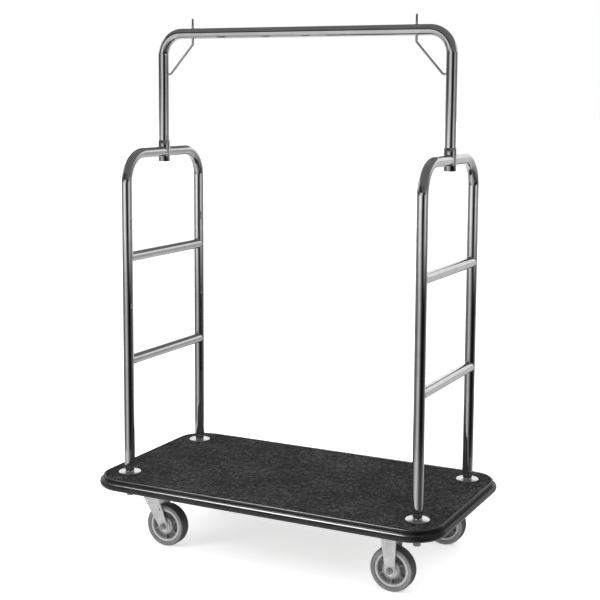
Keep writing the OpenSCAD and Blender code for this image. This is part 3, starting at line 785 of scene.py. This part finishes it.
def fork(px, y, swivel, node, body):
    """A fork pressed from one sheet: two legs with stamped ribs, bent over into the crown."""
    top_z = CROWN_TOP if swivel else PLATE_Z
    top_w = 57.0 if swivel else 46.0
    cx = TRAIL if swivel else RIGID_X - px
    mid_y, bend = FORK_IN + FORK_T / 2, 5.5
    mid_top = top_z - FORK_T / 2
    down = [AXLE_Z - LEG_END_R * math.cos(t) for t in np.linspace(0, math.pi / 2, 12)]
    down += list(np.linspace(AXLE_Z, mid_top - bend, 26)[1:])
    half = [(-mid_y, z, (0, -1)) for z in down]
    for t in np.linspace(0, math.pi / 2, 6)[1:]:
        half.append((-mid_y + bend * (1 - math.cos(t)), mid_top - bend + bend * math.sin(t),
                     (-math.cos(t), math.sin(t))))
    flat = [(v, mid_top, (0, 1)) for v in np.linspace(-mid_y + bend, 0, 6)[1:]]
    path = half + flat
    path = path + [(-v, z, (-n[0], n[1])) for v, z, n in path[-2::-1]]
    cols = 21
    outer, inner = [], []
    for v, z, n in path:
        lo, hi = leg_edges(z, top_w, top_z, cx)
        x = np.linspace(lo, hi, cols)
        leg = 1.0 if abs(abs(v) - mid_y) < 1e-6 else 0.0
        normal = np.array([math.copysign(1.0, v), 0.0]) if leg else np.array(n, float)
        normal /= np.linalg.norm(normal)
        centre_x = np.interp(z, [AXLE_Z, top_z - 12], [cx, 0.0])
        rib = 1.3 * math.exp(-((z - 0.55 * (AXLE_Z + top_z) - 8) / 24) ** 4) \
            * np.exp(-((x - centre_x) / 6.5) ** 4) * leg
        boss = 0.8 / (1 + np.exp((np.hypot(x - cx, z - AXLE_Z) - 13.5) * 2.2)) * leg
        lift = boss - rib
        base = np.stack([x, np.full(cols, v), np.full(cols, z)], 1)
        nn = np.array([0.0, normal[0], normal[1]])
        outer.append(base + nn * (FORK_T / 2) + np.outer(lift, nn))
        inner.append(base - nn * (FORK_T / 2) + np.outer(lift, nn))
    outer, inner = np.array(outer), np.array(inner)
    shell = Shell()
    rings = np.concatenate([outer, inner[::-1]])
    total = len(rings)
    shell.rings(rings, close_rings=True, close_cols=False)
    for side in (0, cols - 1):
        for i in range(len(outer) - 1):
            a, b = i * cols + side, (i + 1) * cols + side
            c, d = (total - 2 - i) * cols + side, (total - 1 - i) * cols + side
            shell.faces.append((a, b, c, d) if side else (b, a, d, c))
    obj = shell.make(node + "_pressed", ZINC, 40)
    if swivel:
        cup = Shell()
        cup.rings(lathe(rounded([(6.3, DISH_Z, 0.3), (20.0, DISH_Z, 1.5), (20.0, top_z - 0.3, 0),
                                 (18.0, top_z - 0.3, 0), (18.0, DISH_Z + 3, 1.0),
                                 (6.3, DISH_Z + 3, 0.3)]), (0, 0, 0), "z", 48))
        hole = Shell()
        hole.rings(lathe(np.array([(0, DISH_Z + 3.6), (18.2, DISH_Z + 3.6), (18.2, top_z + 3),
                                   (0, top_z + 3)], float), (0, 0, 0), "z", 48))
        combine(obj, hole.make("crown_hole", ZINC), "DIFFERENCE")
        combine(obj, cup.make("raceway", ZINC), "UNION")
        drill = Shell()
        for hx, hz in ((-9, 134), (35, 114)):
            drill.rings(lathe(np.array([(0, -40), (2.5, -40), (2.5, 40), (0, 40)], float),
                              (hx, 0, hz), "y", 24))
        combine(obj, drill.make("leg_holes", ZINC), "DIFFERENCE")
    edge = obj.modifiers.new("edge", "BEVEL")
    edge.width, edge.segments, edge.limit_method = 0.55 * MM, 2, "ANGLE"
    edge.angle_limit = rad(50)
    bake(obj, 40)
    obj.data.transform(Matrix.Translation((px * MM, y * MM, 0)))
    mount(obj, body, node)


def tyre_mesh():
    """Tyre section: tread with two shallow grooves, soft shoulders, side ring and bead edge."""
    r, w = WHEEL_R, WHEEL_W / 2
    side = [(RIM_R, -w + 2.0, 0.8), (RIM_R + 0.9, -w + 0.25, 0.8), (RIM_R + 3.6, -w, 1.0),
            (RIM_R + 4.2, -w + 0.7, 0.4), (RIM_R + 5.0, -w + 0.7, 0.4),
            (RIM_R + 5.6, -w + 0.1, 0.6),
            (r - 5.5, -w + 0.1, 4.0), (r - 0.9, -w + 3.4, 3.0), (r, -w + 8.0, 8.0),
            (r, -6.2, 0.3), (r - 0.7, -5.9, 0.2), (r - 0.7, -5.1, 0.2), (r, -4.8, 0.3)]
    section = rounded(side + [(x, -h, q) for x, h, q in side[::-1]], 4)
    shell = Shell()
    shell.rings(lathe(section, (0, 0, 0), "y", 112))
    return shell


def wheel_centre():
    """Moulded wheel: a lipped rim, six ribbed spokes, a stepped hub and a thin sheet across the
    windows that stands in for shade, joined into one solid.
    """
    rim = Shell()
    rim.rings(lathe(rounded([(43.2, -15.0, 1.0), (43.8, -16.0, 0.5), (49.6, -16.0, 0.8),
                             (RIM_R, -15.2, 0.4), (RIM_R, 15.2, 0.4), (49.6, 16.0, 0.8),
                             (43.8, 16.0, 0.5), (43.2, 15.0, 1.0), (42.6, 4.5, 1.5),
                             (42.6, -4.5, 1.5)], 3), (0, 0, 0), "y", 96))
    hub = Shell()
    hub.rings(lathe(rounded([(BEARING_R, -22, 0.5), (18.0, -22, 1.2), (18.6, -16.5, 1.0),
                             (23.6, -15.6, 0.8), (24.2, -17.2, 0.5), (26.4, -17.2, 0.7),
                             (27.4, -4.2, 1.5), (27.4, 4.2, 1.5), (26.4, 17.2, 0.7),
                             (24.2, 17.2, 0.5), (23.6, 15.6, 0.8), (18.6, 16.5, 1.0),
                             (18.0, 22, 1.2), (BEARING_R, 22, 0.5)], 3), (0, 0, 0), "y", 72))
    wheel = rim.make("wheel_rim", NYLON)
    # a thin sheet across the windows between the spokes, a stand-in for the shade in them; the
    # painted shade of the wheel plastic keeps it dark
    shade_sheet = Shell()
    shade_sheet.rings(lathe(rounded([(25.6, -1.6, 0), (44.6, -1.6, 0), (44.6, 1.6, 0), (25.6, 1.6, 0)], 1),
                    (0, 0, 0), "y", 96))
    combine(wheel, hub.make("wheel_hub", NYLON), "UNION")
    combine(wheel, shade_sheet.make("wheel_shade_sheet", NYLON), "UNION")
    for k in range(6):
        a = rad(25 + 60 * k)
        spoke = Shell()
        rows = []
        for rr in np.linspace(25.6, 44.6, 7):
            flare = 1 + 0.35 * ((rr - 35) / 9.6) ** 4
            half_w, half_h = 4.1 * flare, 8.5 + 2.2 * ((rr - 35) / 9.6) ** 4
            ring = rounded([(-half_w, -half_h, 1.6), (half_w, -half_h, 1.6), (half_w, half_h, 1.6),
                            (-half_w, half_h, 1.6)], 3)
            rows.append([(rr * math.cos(a) - u * math.sin(a), h,
                          rr * math.sin(a) + u * math.cos(a)) for u, h in ring])
        spoke.rings(rows, close_rings=False)
        m = len(rows[0])
        spoke.faces.append(tuple(range(m)))
        spoke.faces.append(tuple(range(6 * m, 7 * m))[::-1])
        combine(wheel, spoke.make("wheel_spoke", NYLON), "UNION")
    return wheel


def axle_hardware(y_sign):
    """Bolt with its hexagon head inside and a chamfered nut outside, about the wheel's middle."""
    bolt, nut = Shell(), Shell()
    out = FORK_IN + FORK_T
    tip = out + 8 + 3
    shank = rounded([(0, -out, 0), (AXLE_R, -out, 0), (AXLE_R, tip, 1.2), (0, tip, 0)], 4)
    turn = Matrix.Rotation(rad(-90 * y_sign), 3, "X")
    flip = Matrix.Rotation(rad(90 * y_sign), 3, "X")
    bolt.rings(turned(lathe(shank, n=32), turn, (0, 0, 0)))
    bolt.rings(turned(hex_rings(17, out, out + 6.4, 1.2, low=False), flip, (0, 0, 0)),
               close_rings=False)
    for k in range(4):
        h = out + 8 + 0.5 + 0.65 * k
        ridge = np.array([(AXLE_R - 0.3, h - 0.25), (AXLE_R + 0.06, h), (AXLE_R - 0.3, h + 0.25)])
        bolt.rings(turned(lathe(ridge, n=32), turn, (0, 0, 0)))
    nut.rings(turned(hex_rings(17, out, out + 8, 1.2), turn, (0, 0, 0)), close_rings=False)
    washer = rounded([(AXLE_R + 0.2, out + 0.0, 0), (9.6, out, 0.3), (9.6, out + 1.0, 0.4),
                      (AXLE_R + 0.2, out + 1.0, 0.2)], 3)
    nut.rings(turned(lathe(washer, n=48), turn, (0, 0, 0)))
    return bolt, nut


def place(obj, centre):
    obj.location = Vector(centre) * MM


def casters():
    centre = wheel_centre()
    rigid_bolts, rigid_nuts = Shell(), Shell()
    for x, end in ((-1, "left"), (1, "right")):
        for y, row in ((-1, "front"), (1, "rear")):
            corner = f"{row}_{end}"
            wheel, holder = corner + "_wheel", corner + "_swivel" if x < 0 else "cart"
            px = SWIVEL_X if x < 0 else RIGID_X - 6
            ax = SWIVEL_X + TRAIL if x < 0 else RIGID_X
            cy = y * (SWIVEL_Y if x < 0 else RIGID_Y)
            at = (ax, cy, AXLE_Z)
            fork(px, cy, x < 0, corner + "_fork", holder)
            tyre = tyre_mesh().make(corner + "_tyre_moulded", RUBBER, 30)
            place(tyre, at)
            mount(tyre, wheel, corner + "_tyre")
            hub = bpy.data.objects.new(corner + "_wheel_centre_moulded", centre.data.copy())
            bpy.context.collection.objects.link(hub)
            place(hub, at)
            mount(hub, wheel, corner + "_wheel_centre")
            bolt, nut = axle_hardware(y)
            if x < 0:
                for part, kind in ((bolt, "axle_bolt"), (nut, "axle_nut")):
                    obj = part.make(f"{corner}_{kind}_zinc", FASTENER, 25)
                    place(obj, at)
                    mount(obj, holder, f"{corner}_{kind}")
            else:
                for part, total in ((bolt, rigid_bolts), (nut, rigid_nuts)):
                    total.raw(np.array(part.verts) + np.array(at), part.faces)
    bpy.data.objects.remove(centre)
    mount(rigid_bolts.make("rigid_axle_bolts_zinc", FASTENER, 25), "cart", "rigid_axle_bolts")
    mount(rigid_nuts.make("rigid_axle_nuts_zinc", FASTENER, 25), "cart", "rigid_axle_nuts")


def cad_finishes():
    """The CAD pieces that stay get the same finishes."""
    looks = {"deck_board": WOOD, "cross_channel": ZINC, "top_plate": ZINC, "stud": FASTENER,
             "washer": FASTENER, "screw": FASTENER, "plate_nuts": FASTENER, "kingpin": GROUND,
             "ball": GROUND, "sleeve": GROUND, "bearing": BUSH}
    for name, obj in frame["nodes"].items():
        if obj.hide_render:
            continue
        for key, look in looks.items():
            if key in name:
                obj.data.materials.clear()
                obj.data.materials.append(look)


carpet()
bumper()
for side, end in ((-1, "left"), (1, "right")):
    for y, row in ((-1, "front"), (1, "rear")):
        frame_tube(side, y, f"{end}_{row}_frame_tube")
        post_foot(side, y, f"{row}_{end}_post_foot")
    for level, z in RUNGS.items():
        rung(side, z, f"{end}_{level}_rung")
    socket(side, f"{end}_rail_socket")
    garment_hook(side, f"{end}_garment_hook")
hanging_rail()
long_nuts()
casters()
cad_finishes()


# ---- studio ----

def floor():
    """Pale paper floor with a faint tooth."""
    m = Look("floor_paper", Roughness=0.85)
    m.colour(m.ramp(m.noise(2.5, 3), [(0.35, 0.90), (0.65, 0.93)]))
    m.bump(m.noise(500, 2), 0.05, 0.2)
    m.bsdf.inputs["Emission Color"].default_value = (1, 1, 1, 1)
    m.bsdf.inputs["Emission Strength"].default_value = 0.62
    size = 120000
    obj = add("floor", [(-size, -size, 0), (size, -size, 0), (size, size, 0), (-size, size, 0)],
              [(0, 1, 2, 3)], m.mat)
    obj.visible_glossy = False


VIEW_YAW, VIEW_PITCH, VIEW_ROLL = 0.46004, 0.11533, 0.00648
CAMERA_AT = (1677.6, -3300.2, 1371.5)


def camera():
    data = bpy.data.cameras.new("camera")
    data.sensor_width, data.lens = 36.0, 75.13
    data.shift_x, data.shift_y = -0.0191, -0.1054
    data.clip_start, data.clip_end = 0.05, 60.0
    cam = bpy.data.objects.new("camera", data)
    bpy.context.collection.objects.link(cam)
    ahead = Vector((-math.sin(VIEW_YAW) * math.cos(VIEW_PITCH),
                    math.cos(VIEW_YAW) * math.cos(VIEW_PITCH), -math.sin(VIEW_PITCH)))
    right = Vector((math.cos(VIEW_YAW), math.sin(VIEW_YAW), 0))
    up = right.cross(ahead)
    c, s = math.cos(VIEW_ROLL), math.sin(VIEW_ROLL)
    right, up = right * c + up * s, up * c - right * s
    turn = Matrix((right, up, -ahead)).transposed()
    cam.matrix_world = Matrix.Translation(Vector(CAMERA_AT) * MM) @ turn.to_4x4()
    bpy.context.scene.camera = cam


def soft_light(name, at, aim, size, power):
    data = bpy.data.lights.new(name, "AREA")
    data.shape, data.size, data.size_y, data.energy = "RECTANGLE", size[0], size[1], power
    obj = bpy.data.objects.new(name, data)
    obj.location = at
    obj.rotation_euler = (Vector(aim) - Vector(at)).to_track_quat("-Z", "Y").to_euler()
    bpy.context.collection.objects.link(obj)
    return obj


def world():
    """White studio: a plain white backdrop, with dark flags and soft boxes in the reflections."""
    made = bpy.data.worlds.new("studio")
    bpy.context.scene.world = made
    made.use_nodes = True
    t = made.node_tree
    t.nodes.clear()

    def node(kind, **settings):
        n = t.nodes.new(kind)
        for key, value in settings.items():
            setattr(n, key, value)
        return n

    def maths(how, *values):
        n = node("ShaderNodeMath", operation=how)
        for socket, v in zip(n.inputs, values):
            if hasattr(v, "default_value"):
                t.links.new(v, socket)
            else:
                socket.default_value = v
        return n.outputs[0]

    split = node("ShaderNodeSeparateXYZ")
    t.links.new(node("ShaderNodeTexCoord").outputs["Generated"], split.inputs[0])
    x, y, z = split.outputs
    # angle round the cart, 0.5 towards the camera's side and growing to the picture's right
    c, s = math.cos(VIEW_YAW), math.sin(VIEW_YAW)
    along = maths("ADD", maths("MULTIPLY", x, s), maths("MULTIPLY", y, -c))
    across = maths("ADD", maths("MULTIPLY", x, c), maths("MULTIPLY", y, s))
    angle = maths("ADD", maths("MULTIPLY", maths("ARCTAN2", across, along), 0.5 / math.pi), 0.5)

    def ring(stops):
        """A grey level for each angle in degrees round the cart."""
        n = node("ShaderNodeValToRGB")
        e = n.color_ramp.elements
        while len(e) < len(stops):
            e.new(0.5)
        for item, (a, level) in zip(e, stops):
            item.position = (a + 180) / 360
            item.color = (level, level, level, 1)
        t.links.new(angle, n.inputs[0])
        return n.outputs[0]

    def rise(below, above, low, high):
        """below under the sine of elevation low, above over high, and a blend between."""
        m = node("ShaderNodeMapRange", interpolation_type="SMOOTHSTEP")
        t.links.new(z, m.inputs["Value"])
        m.inputs["From Min"].default_value, m.inputs["From Max"].default_value = low, high
        n = node("ShaderNodeMix", data_type="RGBA")
        t.links.new(m.outputs["Result"], n.inputs["Factor"])
        t.links.new(below, n.inputs[6])
        t.links.new(above, n.inputs[7])
        return n.outputs[2]

    ground = ring([(-180, 0.80), (-130, 0.60), (-104, 0.36), (-78, 0.48), (-54, 0.70), (-32, 0.58),
                   (-12, 0.32), (8, 0.13), (30, 0.06), (52, 0.05), (75, 0.16), (98, 0.28),
                   (125, 0.45), (180, 0.80)])
    low = ring([(-180, 0.80), (-140, 0.40), (-112, 0.16), (-82, 0.12), (-58, 0.42), (-36, 0.62),
                (-18, 0.36), (2, 0.05), (25, 0.006), (46, 0.006), (68, 0.02), (92, 0.10),
                (115, 0.22), (135, 0.60), (180, 0.80)])
    middle = ring([(-180, 0.95), (-145, 0.50), (-112, 0.14), (-88, 0.26), (-64, 1.0),
                   (-42, 1.0), (-26, 0.55), (-8, 0.01), (16, 0.006), (34, 0.26), (54, 0.82),
                   (72, 0.40), (96, 0.10), (120, 0.50), (140, 0.75), (180, 0.95)])
    high = ring([(-180, 0.85), (-145, 0.40), (-104, 0.05), (-73, 0.09), (-50, 0.50), (-30, 0.80),
                 (-14, 0.42), (-1, 0.06), (7, 0.006), (24, 0.006), (37, 0.07), (56, 0.42),
                 (78, 0.30), (106, 0.05), (140, 0.65), (180, 0.85)])
    roof = ring([(-180, 1.0), (-122, 0.85), (-84, 0.06), (-50, 0.03), (0, 0.12), (80, 0.17),
                 (122, 0.85), (180, 1.0)])
    zenith = ring([(-180, 0.16), (0, 0.14), (180, 0.16)])
    blend = rise(ground, low, -0.31, -0.26)
    blend = rise(blend, middle, -0.17, -0.09)
    blend = rise(blend, high, -0.06, 0.01)
    blend = rise(blend, roof, 0.05, 0.12)
    blend = rise(blend, zenith, 0.36, 0.46)
    seen = node("ShaderNodeMix", data_type="RGBA")
    t.links.new(node("ShaderNodeLightPath").outputs["Is Camera Ray"], seen.inputs["Factor"])
    t.links.new(blend, seen.inputs[6])
    seen.inputs[7].default_value = (1, 1, 1, 1)
    back = node("ShaderNodeBackground")
    t.links.new(seen.outputs[2], back.inputs["Color"])
    back.inputs["Strength"].default_value = 1.0
    t.links.new(back.outputs[0], node("ShaderNodeOutputWorld").inputs["Surface"])


floor()
camera()
world()
sun = bpy.data.lights.new("overhead", "SUN")
sun.energy, sun.angle = 2.7, rad(100)
sun_obj = bpy.data.objects.new("overhead", sun)
bpy.context.collection.objects.link(sun_obj)
sun_obj.visible_glossy = False
soft_light("key", (-2.6, -3.4, 2.2), (0, 0, 0.3), (1.6, 2.2), 70).visible_glossy = False
# a soft box for the bumper alone: it draws the two bright lines along the extrusion
strip = soft_light("strip", (-1.1, -0.9, 2.9), (0, -0.2, 0.2), (1.5, 1.1), 170)
strip_lit = bpy.data.collections.new("strip_lit")
strip_lit.objects.link(bpy.data.objects["bumper_extrusion"])
strip.light_linking.receiver_collection = strip_lit
bpy.context.scene.view_settings.view_transform = "Standard"
